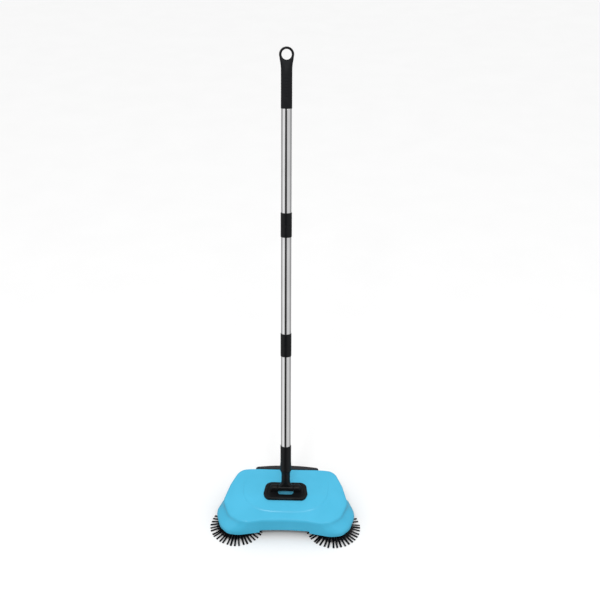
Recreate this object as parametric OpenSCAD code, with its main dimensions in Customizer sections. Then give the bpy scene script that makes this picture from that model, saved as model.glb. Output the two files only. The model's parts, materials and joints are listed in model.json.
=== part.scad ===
// Carpet sweeper: a hand-pushed floor sweeper with two side brushes, a main roller,
// a slide-out dust box and a three-section screw-together handle.
// +Z is up, -Y is the front (the side brushes), the wheels and bristle tips stand on z = 0.

/* [Head shell] */
// Height of the cover's lower edge above the floor
skirt_z = 20; // [18:1:24]
// Wall thickness of the cover and the base plate
wall = 2.5; // [2:0.25:3]
// Height of the cover's top at the hinge
top_z = 75; // [74:0.5:77]
// Height of the crease between the cover's front face and its top
crease_z = 51; // [48:1:54]

/* [Side brushes] */
// Distance of each brush spindle from the middle
brush_x = 110.8; // [108:0.2:113]
// Distance of the brush spindles in front of the handle's foot
brush_front = 42; // [40:0.5:44]
// Radius that the bristle tips sweep
brush_r = 63.4; // [58:0.2:64]

/* [Wheels and roller] */
// Radius of the drive wheels over their tyres
wheel_r = 29; // [28.8:0.1:29.2]
// Distance of the wheel axles behind the handle's foot
wheel_back = 34; // [33:0.5:34.5]
// Width of a tyre
tyre_w = 13; // [10:1:14]
// Radius of the main roller over its bristles
roller_r = 22; // [20:0.5:22]
// Half the length of the roller's bristles
roller_half = 55; // [45:1:55]

/* [Handle] */
// Angle by which the handle leans back from upright
lean = 16.4; // [12:0.2:20]
// Height of the hinge pin above the floor
hinge_z = 81; // [80:0.5:82]
// Outer diameter of the steel tubes
tube_d = 22; // [20:0.5:22]
// Wall thickness of the steel tubes
tube_wall = 0.4; // [0.3:0.1:0.8]
// Visible length of each steel tube
tube_len = 216; // [180:1:260]
// Visible length of each screw coupling
coupling_len = 52.5; // [44:0.5:60]
// Length of the socket above the neck
socket_len = 63; // [54:1:68]
// Length of the grip, from the top tube to the top of its ring
grip_len = 122.5; // [110:0.5:140]
// Radius of the hole in the hanging ring
ring_hole_r = 10.5; // [9:0.5:11.5]

/* [Hidden] */
$fn = 48;

// Clearances
run = 0.05;          // radial gap of a shaft that turns in a bore
slack = 0.4;         // gap between moving faces that don't bear on each other

// The whole object's footprint is centred on the origin: the handle's foot is this far in front.
foot_y = -88;
hinge_y = 1.5;       // hinge pin, behind the handle's foot
brush_y = -brush_front;
wheel_y = wheel_back;
shaft_z = wheel_r;   // the side shafts lie at the height of the wheel axles

// Gears
module_mm = 1.25;
crown_teeth = 32;    // on the outer face of each wheel
shaft_teeth = 10;    // both pinions of a side shaft
brush_teeth = 28;    // crown gear on a brush spindle
spur_teeth = 24;     // on the inner face of the left wheel
roller_teeth = 11;   // pinion on the roller
crown_r = module_mm * crown_teeth / 2;
pinion_r = module_mm * shaft_teeth / 2;
brush_gear_r = module_mm * brush_teeth / 2;
spur_r = module_mm * spur_teeth / 2;
roller_pinion_r = module_mm * roller_teeth / 2;
face_half = 2.5;     // half the face width of a pinion
tip = 0.9;           // addendum
root = 1.3;          // dedendum

// Roller position follows from the gear centre distance
roller_z = roller_r;
roller_y = wheel_y - sqrt(pow(spur_r + roller_pinion_r, 2) - pow(wheel_r - roller_z, 2));
spur_phase = atan2(roller_y - wheel_y, roller_z - wheel_r); // points a tooth at the roller

// Wheels
crown_x = brush_x - pinion_r;      // pitch plane of the wheel's crown teeth
crown_back_x = crown_x - 4.2;      // back of the crown ring
wheel_x = crown_back_x - tyre_w;   // inner face of the tyre
spur_w = 6;
axle_r = 2.5;
side_shaft_r = 2;
shaft_bush_r = 3.5;
shaft_bush_y = [-12, 20.5];
drive_pinion_y = wheel_y - crown_r; // middle of the pinion on the wheel's crown teeth
brush_pinion_y = brush_y + brush_gear_r;
roller_axle_r = 3;
roller_bush_r = 4;
roller_core_r = 9;

// Base plate and brush spindles
lobe_z = skirt_z - 6;       // lower edge of the brush lobes
plate_z = skirt_z + 0.5;
pan_z = 15;                        // underside of the round pans that hold the brush gears
pan_r = 24;
brush_crown_z = shaft_z - pinion_r; // pitch plane of the brush gear's teeth
spindle_r = 3;
bush_r = 5.5;

// Dust box
box_half = 73.5;
box_front = 38;
box_floor_z = plate_z + wall + slack;
box_top_z = 66;
cover_back = 71;

// Rear rollers
rear_roller_r = 7.5;
rear_roller_x = 62;
rear_roller_y = 63;

// Hinge
barrel_r = 7.8;
barrel_half = 17.6;
ear_gap = 0.4;
ear_w = 16.5;
slot_half = barrel_half + ear_gap; // half the gap between the hinge ears
hinge_pin_r = 2.5;
pocket_x = 36;
pocket_front = -19;
pocket_back = 16;
pocket_floor_z = 66;
bezel_screw_x = 26;
bezel_screw_y = [-14, 11.6];
bezel_screw_r = 1.1;

// Handle stations, measured along the handle from the hinge pin
socket_s = 44;
tube1_s = socket_s + socket_len;
joint1_s = tube1_s + tube_len;
tube2_s = joint1_s + coupling_len;
joint2_s = tube2_s + tube_len;
tube3_s = joint2_s + coupling_len;
grip_s = tube3_s + tube_len;
plug_len = 24;       // how far each fitting enters its tube
// Outer diameters of the couplings, the grip and the socket
fit_d = tube_d + 2;
grip_d = tube_d + 1.4;
socket_d = tube_d + 2.4;
bore_d = tube_d - 2 * tube_wall;
ring_r = 15.3;
ring_t = 9;
ring_s = grip_len - ring_r;

// ---- outline helpers: a list of [x, y, corner radius], counter-clockwise ----
function unit(v) = v / norm(v);
function xy(p) = [p[0], p[1]];
function wrap(a) = a > 180 ? a - 360 : a < -180 ? a + 360 : a;
function mirrored(half) = concat(half, [for (i = [len(half) - 1:-1:0])
    [-half[i][0], half[i][1], half[i][2]]]);
function arc_points(c, r, a0, turn, n) = [for (i = [0:n])
    c + r * [cos(a0 + turn * i / n), sin(a0 + turn * i / n)]];
function corner(a, p, b, r, n) =
    let (u = unit(a - p), v = unit(b - p), half = acos(u * v) / 2)
    let (c = p + unit(u + v) * r / sin(half), t = r / tan(half))
    let (s = p + u * t - c, e = p + v * t - c)
    arc_points(c, r, atan2(s[1], s[0]), wrap(atan2(e[1], e[0]) - atan2(s[1], s[0])), n);
function rounded(pts, n = 6) = [for (i = [0:len(pts) - 1])
    let (k = len(pts))
    each corner(xy(pts[(i + k - 1) % k]), xy(pts[i]), xy(pts[(i + 1) % k]), pts[i][2], n)];
function inset_corner(a, p, b, r, t) =
    let (u = unit(a - p), v = unit(b - p), half = acos(u * v) / 2)
    let (side = cross(p - a, b - p) > 0 ? 1 : -1)
    let (q = p + side * unit(u + v) * t / sin(half))
    [q[0], q[1], max(0.2, r - side * t)];
function inset(pts, t) = [for (i = [0:len(pts) - 1])
    let (k = len(pts))
    inset_corner(xy(pts[(i + k - 1) % k]), xy(pts[i]), xy(pts[(i + 1) % k]), pts[i][2], t)];

// Plan of the cover's body, and of one brush lobe at the skirt and at the crease
body_plan = concat([[0, -70, 600]], mirrored([[60, -72.5, 40], [85, -76.8, 40], [104, -74, 26],
    [128, -58.5, 34], [144, -20, 28], [131.5, 28, 60], [113, cover_back, 22]]));
lobe_x = 57;
lobe_back = 26;
lobe_low = [[lobe_x, -74.6, 3], [106, -84.3, 60], [131, -79.8, 26], [149, -60.3, 34], [162, -19.3, 45],
    [146.5, 21.7, 10], [lobe_x, -20, 5]];
lobe_high = [[66, -74, 5], [85, -77.3, 40], [104, -74.5, 26], [128, -59, 34], [144.5, -20, 26], [138, 9, 8],
    [66, -20, 5]];
// The plane that lowers each front corner of the cover's top passes through this point
corner_point = [126, -58, 52];
corner_turn = 38.5;
corner_rise = 24.2;

// ---- placing ----
module head() { translate([0, foot_y, 0]) children(); }
module at_hinge() { head() translate([0, hinge_y, hinge_z]) children(); }
module on_handle(s) { at_hinge() rotate([-lean, 0, 0]) translate([0, 0, s]) children(); }
module at_wheel() { head() translate([0, wheel_y, shaft_z]) children(); }
module at_shaft() { head() translate([brush_x, 0, shaft_z]) children(); }
module at_brush() { head() translate([brush_x, brush_y, 0]) children(); }
module at_roller() { head() translate([0, roller_y, roller_z]) children(); }
module both_sides() { children(); mirror([1, 0, 0]) children(); }
module side(left) { mirror([left ? 1 : 0, 0, 0]) children(); }
// A cylinder along X from x0 to x1
module rod_x(r, x0, x1) { translate([x0, 0, 0]) rotate([0, 90, 0]) cylinder(r = r, h = x1 - x0); }
// A cylinder along Y from y0 to y1
module rod_y(r, y0, y1) { translate([0, y1, 0]) rotate([90, 0, 0]) cylinder(r = r, h = y1 - y0); }

// ---- gear teeth ----
// Spur gear about Z with a tooth on +X when phase is 0
module spur(teeth, h, phase = 0) {
    pitch = module_mm * teeth / 2;
    step = 360 / teeth;
    rotate([0, 0, phase]) linear_extrude(h) polygon([for (i = [0:teeth - 1]) each [
        (pitch - root) * [cos((i - 0.30) * step), sin((i - 0.30) * step)],
        (pitch + tip) * [cos((i - 0.10) * step), sin((i - 0.10) * step)],
        (pitch + tip) * [cos((i + 0.10) * step), sin((i + 0.10) * step)],
        (pitch - root) * [cos((i + 0.30) * step), sin((i + 0.30) * step)]]]);
}
// Crown gear about Z with its teeth facing +Z, pitch plane at z = 0 and a gap on +X when phase is 0
module crown(teeth, mean_r, back, phase = 0) {
    step = 360 / teeth;
    reach = face_half + 0.8;
    translate([0, 0, -back]) difference() {
        cylinder(r = mean_r + reach, h = back - root);
        translate([0, 0, -1]) cylinder(r = mean_r - reach, h = back + 1);
    }
    for (i = [0:teeth - 1]) rotate([0, 0, phase + (i + 0.5) * step])
        translate([mean_r - reach + 0.1, 0, 0]) rotate([90, 0, 90]) linear_extrude(2 * reach - 0.3)
            polygon([[-1.05, -root - 0.2], [1.05, -root - 0.2], [0.30, tip], [-0.30, tip]]);
}

// ---- cover ----
// Side view of the cover's top, swept along X, lowered and shortened by t
module side_profile(t) {
    rotate([90, 0, 90]) linear_extrude(400, center = true) polygon(rounded([
        [-120, 0, 1], [120, 0, 1], [120, top_z - t, 1], [60, top_z + 1 - t, 60], [-24, top_z - 2 - t, 90],
        [-64 + t * 0.3, crease_z + 3 - t, 9], [-76, crease_z - 5 - t, 4], [-120, crease_z - 5 - t, 1]]));
}
// Front view of the cover's top, swept along Y, lowered by t
module front_profile(t) {
    rotate([90, 0, 0]) linear_extrude(400, center = true) polygon(rounded([
        [-170, 0, 1], [170, 0, 1], [170, top_z - 22 - t, 1], [98, top_z + 1.5 - t, 260],
        [-98, top_z + 1.5 - t, 260], [-170, top_z - 22 - t, 1]], 8));
}
module lobe(t) {
    hull() {
        linear_extrude(skirt_z + 4) polygon(rounded(inset(lobe_low, t)));
        linear_extrude(crease_z - 8 - t) polygon(rounded(inset(lobe_high, t - 1)));
    }
}
module cover_solid(t) {
    difference() {
        intersection() {
            linear_extrude(100) polygon(rounded(inset(body_plan, t)));
            side_profile(t);
            front_profile(t);
        }
        both_sides() translate(corner_point - [0, 0, t]) rotate([corner_rise, 0, corner_turn])
            translate([-100, -60, 0]) cube([200, 160, 60]);
    }
    both_sides() lobe(t);
}
// Block of height h over the hinge pocket's plan, its sides moved in by t
module pocket_block(t, h) {
    translate([t - pocket_x, pocket_front + t, 0])
        cube([2 * (pocket_x - t), pocket_back - pocket_front - 2 * t, h]);
}
// Keeps what lies t below the cover's top surface
module under_top(t) {
    intersection() {
        children();
        side_profile(t);
        front_profile(t);
    }
}
// Places of the base screws on the right-hand side: [x, y]
base_posts = [[40, -54], [79, -10], [126, -2], [109, 48]];
module top_cover() {
    color([0.36, 0.76, 0.90]) head() difference() {
        union() {
            difference() {
                cover_solid(0);
                cover_solid(wall);
                // The front between the lobes and the cover behind them end higher than the lobes
                translate([-200, -200, -10]) cube([400, 400, lobe_z + 10]);
                translate([-lobe_x, -200, -10]) cube([2 * lobe_x, 400, skirt_z + 10]);
                translate([-200, lobe_back, -10]) cube([400, 200, skirt_z + 10]);
            }
            // Walls and floor of the hinge pocket
            under_top(0.6) translate([0, 0, pocket_floor_z - wall]) pocket_block(-wall, 30);
            // Hollow posts for the base screws
            under_top(1) both_sides() for (p = base_posts)
                translate([p[0], p[1], plate_z + wall + 0.2]) cylinder(r = 3.4, h = 60);
        }
        translate([0, 0, pocket_floor_z]) pocket_block(0, 20);
        both_sides() for (p = base_posts)
            translate([p[0], p[1], 0]) cylinder(r = 1.3, h = plate_z + wall + 12);
        // Holes for the bezel screws
        both_sides() for (y = bezel_screw_y)
            translate([bezel_screw_x, y, pocket_floor_z - wall - 1]) cylinder(r = bezel_screw_r + 0.2, h = 6);
        // Rear mouth for the dust box
        translate([-box_half - slack, cover_back - 12, 0])
            cube([2 * (box_half + slack), 30, box_top_z + slack]);
        translate([-box_half - slack - 1, cover_back - 1.6, 0])
            cube([2 * (box_half + slack) + 2, 30, 90]);
    }
}

// ---- base plate ----
module base_plate() {
    color([0.10, 0.11, 0.12]) head() difference() {
        union() {
            difference() {
                intersection() {
                    translate([0, 0, plate_z]) linear_extrude(wall) union() {
                        polygon(rounded(inset(body_plan, wall + 0.3)));
                        both_sides() polygon(rounded(inset(lobe_low, wall + 0.3)));
                    }
                    translate([-200, -200, 0]) cube([400, cover_back - 2.5 + 200, 60]);
                }
                // Roller slot and wheel wells
                translate([-roller_half - 4, roller_y - roller_r - 2.5, 0])
                    cube([2 * roller_half + 8, 2 * roller_r + 4, 60]);
                both_sides() translate([wheel_x - spur_w - 2, wheel_y - wheel_r - 1, 0])
                    cube([crown_x - wheel_x + spur_w + 4, 2 * wheel_r + 2, 60]);
                both_sides() translate([brush_x, brush_y, 0]) cylinder(r = pan_r + 0.1, h = 60);
                both_sides() translate([brush_x - 8.5, drive_pinion_y - face_half - 1, 0])
                    cube([17, 2 * face_half + 2, 60]);
                both_sides() translate([roller_half, roller_y - 4.5, 0]) cube([10, 9, 60]);
                translate([-wheel_x, roller_y - 4.5, 0]) cube([wheel_x - roller_half, 9, 60]);
            }
            both_sides() {
                // Round pan with a boss for the spindle bush
                translate([brush_x, brush_y, 0]) {
                    translate([0, 0, pan_z]) cylinder(r = pan_r + wall, h = wall);
                    translate([0, 0, pan_z]) difference() {
                        cylinder(r = pan_r + wall, h = plate_z + wall - pan_z);
                        translate([0, 0, wall]) cylinder(r = pan_r, h = 30);
                    }
                }
                // Pedestals for the wheel axle, on both sides of the wheel
                for (x = [wheel_x - spur_w - 5, crown_x + 3.6])
                    translate([x, wheel_y - 5, plate_z]) cube([3, 10, shaft_z - plate_z + 5.5]);
                translate([crown_x + 2.2, wheel_y - 8, plate_z]) cube([6, 16, wall]);
                translate([wheel_x - spur_w - 6, wheel_y - 8, plate_z]) cube([4.5, 16, wall]);
                // Pedestals for the side shaft bushes
                for (y = shaft_bush_y)
                    translate([brush_x - 4.6, y - 2.5, plate_z]) cube([10.6, 5, shaft_z - plate_z + 6]);
                // Fork cheeks for the rear rollers
                for (x = [rear_roller_x - 9, rear_roller_x + 6.5])
                    translate([x, rear_roller_y - 4, rear_roller_r - 3.5])
                        cube([2.5, 8, plate_z - rear_roller_r + 4.5]);
            }
            // Pedestals for the roller bushes
            both_sides() translate([roller_half + 4.5, roller_y - 8, plate_z - 4.5])
                cube([4, 16, roller_z - plate_z + 11]);
        }
        both_sides() {
            translate([brush_x, brush_y, 0]) cylinder(r = bush_r, h = 60);
            translate([0, wheel_y, shaft_z]) rod_x(axle_r, wheel_x - spur_w - 20, crown_x + 10);
            translate([brush_x, 0, shaft_z]) rod_y(shaft_bush_r, -20, 26);
            translate([0, rear_roller_y, rear_roller_r]) rod_x(1.5, rear_roller_x - 12, rear_roller_x + 12);
            for (p = base_posts) translate([p[0], p[1], 0]) cylinder(r = 1.8, h = 60);
        }
        both_sides() translate([0, roller_y, roller_z]) rod_x(roller_bush_r, roller_half, roller_half + 20);
    }
}
module base_screws() {
    color([0.62, 0.63, 0.65]) head() both_sides() for (p = base_posts)
        translate([p[0], p[1], plate_z - 1.8]) difference() {
            union() {
                cylinder(r = 3.2, h = 1.8);
                cylinder(r = 1.3, h = 14);
            }
            translate([0, 0, -1]) cylinder(r = 1.2, h = 2, $fn = 6);
        }
}

// ---- hinge ----
bezel_plan = mirrored([[45, -28, 13], [51, -12, 14], [46, 25.5, 16]]);
slot_plan = mirrored([[14.8, -13, 3], [slot_half, -6.8, 1], [slot_half, 14, 2]]);
bezel_top = top_z + 1.4;
liner_wall = 2;
liner_gap = 0.1;     // between the liner and the pocket's walls
module hinge_bezel() {
    color([0.11, 0.12, 0.13]) head() difference() {
        union() {
            // Frame that lies on the cover, level on top
            difference() {
                union() {
                    linear_extrude(bezel_top - 1.6) polygon(rounded(bezel_plan));
                    linear_extrude(bezel_top) polygon(rounded(inset(bezel_plan, 1.4)));
                }
                side_profile(0);
            }
            // Liner that drops into the pocket
            translate([0, 0, pocket_floor_z]) difference() {
                pocket_block(liner_gap, bezel_top - 1 - pocket_floor_z);
                translate([0, 0, -1]) pocket_block(liner_gap + liner_wall, 30);
            }
            // Hinge ears
            both_sides() translate([0, hinge_y, hinge_z]) {
                rod_x(barrel_r, slot_half, slot_half + ear_w);
                translate([slot_half, -barrel_r, pocket_floor_z - hinge_z])
                    cube([ear_w, 2 * barrel_r, hinge_z - pocket_floor_z]);
            }
            // Screw bosses that stand on the pocket's floor
            both_sides() for (y = bezel_screw_y)
                translate([bezel_screw_x, y, pocket_floor_z]) cylinder(r = 3, h = 8.5);
        }
        // Slot that the neck swings in
        translate([0, 0, 60]) linear_extrude(60) polygon(rounded(slot_plan));
        translate([0, hinge_y, hinge_z]) rod_x(hinge_pin_r, -60, 60);
        both_sides() for (y = bezel_screw_y)
            translate([bezel_screw_x, y, pocket_floor_z - 1]) cylinder(r = bezel_screw_r, h = 7.5);
    }
}
// Screws that hold the bezel from below the pocket's floor
module bezel_screws() {
    color([0.55, 0.56, 0.58]) head() both_sides() for (y = bezel_screw_y)
        translate([bezel_screw_x, y, pocket_floor_z - wall]) {
            translate([0, 0, -1.4]) cylinder(r = 2.4, h = 1.4);
            cylinder(r = bezel_screw_r, h = wall + 5.5);
        }
}
module hinge_pin() {
    pin_half = slot_half + ear_w - 1;
    color([0.75, 0.76, 0.78]) head() translate([0, hinge_y, hinge_z]) rod_x(hinge_pin_r, -pin_half, pin_half);
}

// ---- handle ----
neck_r = 10;
module handle_neck() {
    color([0.12, 0.13, 0.14]) difference() {
        union() {
            on_handle(0) rod_x(barrel_r, -barrel_half, barrel_half);
            // Foot that spreads from the round neck to the barrel, thinner where it passes the bezel
            on_handle(0) hull() {
                translate([-barrel_half, -6, 2]) cube([2 * barrel_half, 12, 3]);
                translate([0, 0, 14]) scale([1, 0.75, 1]) cylinder(r = neck_r, h = 1, $fn = 32);
            }
            on_handle(0) hull() {
                translate([0, 0, 14]) scale([1, 0.75, 1]) cylinder(r = neck_r, h = 1, $fn = 32);
                translate([0, 0, 25]) cylinder(r = neck_r, h = 1, $fn = 32);
            }
            on_handle(25) cylinder(r = neck_r, h = socket_s - 25);
            on_handle(socket_s - 8) cylinder(r1 = neck_r, r2 = socket_d / 2 - 0.4, h = 8);
            on_handle(socket_s - 1) cylinder(r = 8, h = 31);
        }
        on_handle(0) rod_x(hinge_pin_r + run, -60, 60);
        on_handle(socket_s + 15) rotate([-90, 0, 0]) cylinder(r = 1.2, h = 20);
    }
}
module neck_screw() {
    color([0.70, 0.71, 0.73]) on_handle(socket_s + 15) rotate([-90, 0, 0]) {
        translate([0, 0, 3]) cylinder(r = 1.2, h = 6);
        translate([0, 0, 9]) cylinder(r = 2.4, h = 1.4);
    }
}
// A sleeve with softly chamfered ends: solid of revolution from z = 0 to h
module sleeve(d, h, low = 1.2, high = 1.2) {
    rotate_extrude() polygon([[0, 0], [d / 2 - low, 0], [d / 2, low], [d / 2, h - high],
        [d / 2 - high, h], [0, h]]);
}
module socket() {
    color([0.12, 0.13, 0.14]) on_handle(socket_s) difference() {
        union() {
            sleeve(socket_d, socket_len);
            // Flared lower collar
            sleeve(socket_d + 2.4, 5, 1.2, 0.2);
            translate([0, 0, 4.8]) cylinder(d1 = socket_d + 2, d2 = socket_d - 0.2, h = 18);
        }
        translate([0, 0, -0.5]) cylinder(r = 8, h = 31);
        translate([0, 0, socket_len - plug_len]) cylinder(d = tube_d, h = plug_len + 1);
        translate([0, 0, 15]) rotate([-90, 0, 0]) {
            cylinder(r = 1.4, h = 20);
            translate([0, 0, 9]) cylinder(r = 2.6, h = 8);
        }
    }
}
module steel_tube(s0, s1) {
    color([0.80, 0.81, 0.83]) on_handle(s0) difference() {
        cylinder(d = tube_d, h = s1 - s0);
        translate([0, 0, -1]) cylinder(d = bore_d, h = s1 - s0 + 2);
    }
}
module tube_lower() { steel_tube(tube1_s - plug_len + 0.2, joint1_s); }
module tube_middle() { steel_tube(tube2_s, joint2_s); }
module tube_upper() { steel_tube(tube3_s, grip_s); }
// Lower half of a screw coupling: plugged into the tube below, threaded inside
module coupling_nut(s) {
    color([0.12, 0.13, 0.14]) on_handle(s) difference() {
        union() {
            sleeve(fit_d, coupling_len / 2, 1.2, 0.3);
            translate([0, 0, -plug_len]) cylinder(d = bore_d, h = plug_len + 0.5);
        }
        translate([0, 0, -plug_len + 3]) cylinder(r = 6.5, h = plug_len + coupling_len);
    }
}
// Upper half: plugged into the tube above, with the threaded stud pointing down
module coupling_stud(s) {
    half = coupling_len / 2;
    color([0.12, 0.13, 0.14]) on_handle(s + half) {
        difference() {
            union() {
                sleeve(fit_d, half, 0.3, 1.2);
                translate([0, 0, half - 0.5]) cylinder(d = bore_d, h = plug_len + 0.5);
            }
            translate([0, 0, 8]) cylinder(r = 6.5, h = plug_len + half);
        }
        translate([0, 0, -22]) rotate_extrude() polygon(concat([[0, 0]],
            [for (i = [0:6]) each [[5.2, i * 3], [6.4, i * 3 + 1.5]]], [[5.2, 21], [5.2, 22.5], [0, 22.5]]));
    }
}
module coupling_lower_nut() { coupling_nut(joint1_s); }
module coupling_lower_stud() { coupling_stud(joint1_s); }
module coupling_upper_nut() { coupling_nut(joint2_s); }
module coupling_upper_stud() { coupling_stud(joint2_s); }
// Half-widths of the flare between the grip's body and its ring: [half-width, below the ring's centre]
flare = [[grip_d / 2 - 0.2, 38], [grip_d / 2, 28], [12.8, 17], [14.6, 6], [12, 0]];
// The flare's outline on the right, going up (way 1), or on the left, going down (way -1)
function flare_side(way) = [for (i = [0:len(flare) - 1])
    let (p = flare[way > 0 ? i : len(flare) - 1 - i])
    [way * p[0], -p[1]]];
module grip() {
    color([0.13, 0.14, 0.15]) on_handle(grip_s) difference() {
        union() {
            // Plug in the top tube and the round body, which flattens towards the ring
            translate([0, 0, -plug_len]) cylinder(d = bore_d, h = plug_len + 1);
            rotate_extrude() polygon([[0, 0], [grip_d / 2 - 1, 0], [grip_d / 2, 1],
                [grip_d / 2, ring_s - 34], [grip_d / 2 - 1.2, ring_s - 24], [ring_t / 2, ring_s - 12],
                [0, ring_s - 11]]);
            translate([0, 0, ring_s]) rotate([90, 0, 0]) {
                linear_extrude(ring_t, center = true) polygon([each flare_side(1), each flare_side(-1)]);
                // Ring with bevelled rims
                rotate_extrude() polygon([[0, -ring_t / 2], [ring_r - 2, -ring_t / 2],
                    [ring_r, -ring_t / 2 + 2], [ring_r, ring_t / 2 - 2], [ring_r - 2, ring_t / 2],
                    [0, ring_t / 2]]);
            }
        }
        translate([0, 0, ring_s]) rotate([90, 0, 0]) cylinder(r = ring_hole_r, h = 40, center = true);
        // Hollow of the moulding
        translate([0, 0, -plug_len - 1]) cylinder(r = bore_d / 2 - 2.3, h = plug_len + ring_s - 39);
    }
}

// ---- dust box ----
module dust_box() {
    color([0.20, 0.21, 0.23]) head() difference() {
        translate([-box_half, box_front, box_floor_z])
            cube([2 * box_half, cover_back - box_front, box_top_z - box_floor_z]);
        translate([-box_half + 2, box_front + 2, box_floor_z + 2])
            cube([2 * box_half - 4, cover_back - box_front, box_top_z - box_floor_z - 4]);
        // Mouth above the front lip
        translate([-roller_half - 2, box_front - 5, box_floor_z + 9]) cube([2 * roller_half + 4, 10, 26]);
    }
}
back_top_z = top_z - 0.4;
back_plan = [[-75, cover_back, 1.5], [75, cover_back, 1.5], [72.5, cover_back + 6, 6],
    [0, cover_back + 17.5, 380], [-72.5, cover_back + 6, 6]];
back_hollow = [[-71, cover_back + 2], [71, cover_back + 2], [67, cover_back + 3.2], [46, cover_back + 5.8],
    [0, cover_back + 9.4], [-46, cover_back + 5.8], [-67, cover_back + 3.2]];
// Box of the finger recess in the rear face, grown by t
module finger_recess(t) {
    translate([-32 - t, cover_back + 5 - t, plate_z + 14 - t]) cube([64 + 2 * t, 30, 22 + 2 * t]);
}
module dust_box_back() {
    back_wall = 2;
    color([0.15, 0.16, 0.18]) head() difference() {
        union() {
            translate([0, 0, plate_z]) linear_extrude(back_top_z - plate_z) polygon(rounded(back_plan, 8));
            // Step that closes the tray
            translate([-box_half + 2.1, cover_back - 3, box_floor_z + 2.1])
                cube([2 * box_half - 4.2, 4, box_top_z - box_floor_z - 4.2]);
        }
        // Hollow of the moulding, open below
        difference() {
            translate([0, 0, plate_z - 1])
                linear_extrude(back_top_z + 1 - plate_z - back_wall) polygon(back_hollow);
            finger_recess(back_wall);
        }
        finger_recess(0);
    }
}
module dust_box_seal() {
    color([0.08, 0.08, 0.09]) head() translate([-roller_half - 1, box_front - 2, box_floor_z + 6])
        cube([2 * roller_half + 2, 2, 2.6]);
}

// ---- wheels ----
module axle() {
    color([0.72, 0.73, 0.75]) at_wheel() rod_x(axle_r, wheel_x - spur_w - 5, crown_x + 6.6);
}
module left_wheel_axle() { side(true) axle(); }
module right_wheel_axle() { side(false) axle(); }
module wheel(driver) {
    color([0.16, 0.17, 0.18]) at_wheel() difference() {
        union() {
            // Rim, hub, spokes, and the disc that carries the crown teeth
            difference() {
                rod_x(wheel_r - 3, wheel_x, crown_back_x);
                rod_x(wheel_r - 6, wheel_x + 2.5, crown_back_x - 2.5);
            }
            rod_x(7, wheel_x - 0.8, crown_x);
            for (a = [0:60:300])
                rotate([a, 0, 0]) translate([wheel_x + 1, -1.5, 4]) cube([tyre_w - 2, 3, wheel_r - 9]);
            translate([crown_x, 0, 0]) rotate([0, 90, 0]) crown(crown_teeth, crown_r, 4.4, 90);
            if (driver) translate([wheel_x, 0, 0]) rotate([0, -90, 0])
                spur(spur_teeth, spur_w - 1, spur_phase);
        }
        rod_x(axle_r + run, wheel_x - 20, crown_x + 20);
    }
}
module left_wheel() { side(true) wheel(true); }
module right_wheel() { side(false) wheel(false); }
module tyre() {
    color([0.09, 0.09, 0.10]) at_wheel() difference() {
        rod_x(wheel_r, wheel_x, crown_back_x);
        rod_x(wheel_r - 3, wheel_x - 1, crown_back_x + 1);
        // Two grooves round the tread
        for (x = [wheel_x + 3.5, crown_back_x - 4.5]) difference() {
            rod_x(wheel_r + 1, x, x + 1);
            rod_x(wheel_r - 0.8, x - 1, x + 2);
        }
    }
}
module left_tyre() { side(true) tyre(); }
module right_tyre() { side(false) tyre(); }

// ---- side shafts ----
module shaft_bushes() {
    color([0.78, 0.62, 0.32]) both_sides() at_shaft() for (y = shaft_bush_y) difference() {
        rod_y(shaft_bush_r, y - 2.5, y + 2.5);
        rod_y(side_shaft_r + run, y - 5, y + 5);
    }
}
module side_shaft() {
    color([0.72, 0.73, 0.75]) at_shaft()
        rod_y(side_shaft_r, brush_pinion_y - face_half - 1.5, shaft_bush_y[1] + 3.5);
}
module left_side_shaft() { side(true) side_shaft(); }
module right_side_shaft() { side(false) side_shaft(); }
// Pinion on a side shaft, centred at y
module shaft_pinion(y, phase) {
    color([0.90, 0.90, 0.86]) at_shaft() translate([0, y + face_half, 0]) rotate([90, 0, 0]) difference() {
        spur(shaft_teeth, 2 * face_half, phase);
        translate([0, 0, -1]) cylinder(r = side_shaft_r, h = 10);
    }
}
module left_wheel_pinion() { side(true) shaft_pinion(drive_pinion_y, 0); }
module right_wheel_pinion() { side(false) shaft_pinion(drive_pinion_y, 0); }
module left_brush_pinion() { side(true) shaft_pinion(brush_pinion_y, -90); }
module right_brush_pinion() { side(false) shaft_pinion(brush_pinion_y, -90); }

// ---- side brushes ----
gear_base_z = pan_z + wall + 1;    // underside of a brush gear
hub_top_z = pan_z - 1.2;
hub_low_z = 5.5;
hub_r = 14;
module spindle_bushes() {
    color([0.78, 0.62, 0.32]) head() both_sides() translate([brush_x, brush_y, 0]) difference() {
        union() {
            translate([0, 0, pan_z]) cylinder(r = bush_r, h = wall);
            translate([0, 0, pan_z + wall]) cylinder(r = bush_r + 1.5, h = 0.7);
        }
        translate([0, 0, pan_z - 1]) cylinder(r = spindle_r + run, h = 10);
    }
}
module brush_gear() {
    color([0.90, 0.90, 0.86]) at_brush() difference() {
        union() {
            translate([0, 0, brush_crown_z])
                crown(brush_teeth, brush_gear_r, brush_crown_z - gear_base_z, 90);
            // Web and spindle
            translate([0, 0, gear_base_z]) cylinder(r = brush_gear_r - 2, h = 2);
            translate([0, 0, hub_low_z + 3]) cylinder(r = spindle_r, h = gear_base_z - hub_low_z);
        }
        translate([0, 0, hub_low_z]) cylinder(r = 1.2, h = 12);
    }
}
module left_brush_gear() { side(true) brush_gear(); }
module right_brush_gear() { side(false) brush_gear(); }
module brush_hub() {
    color([0.13, 0.14, 0.15]) at_brush() difference() {
        translate([0, 0, hub_low_z]) cylinder(r = hub_r, h = hub_top_z - hub_low_z);
        translate([0, 0, hub_low_z + 3]) cylinder(r = spindle_r, h = 30);
        translate([0, 0, hub_low_z - 1]) cylinder(r = 1.5, h = 10);
        translate([0, 0, hub_low_z - 1]) cylinder(r = 3.2, h = 2.6);
    }
}
module left_brush_hub() { side(true) brush_hub(); }
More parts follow.
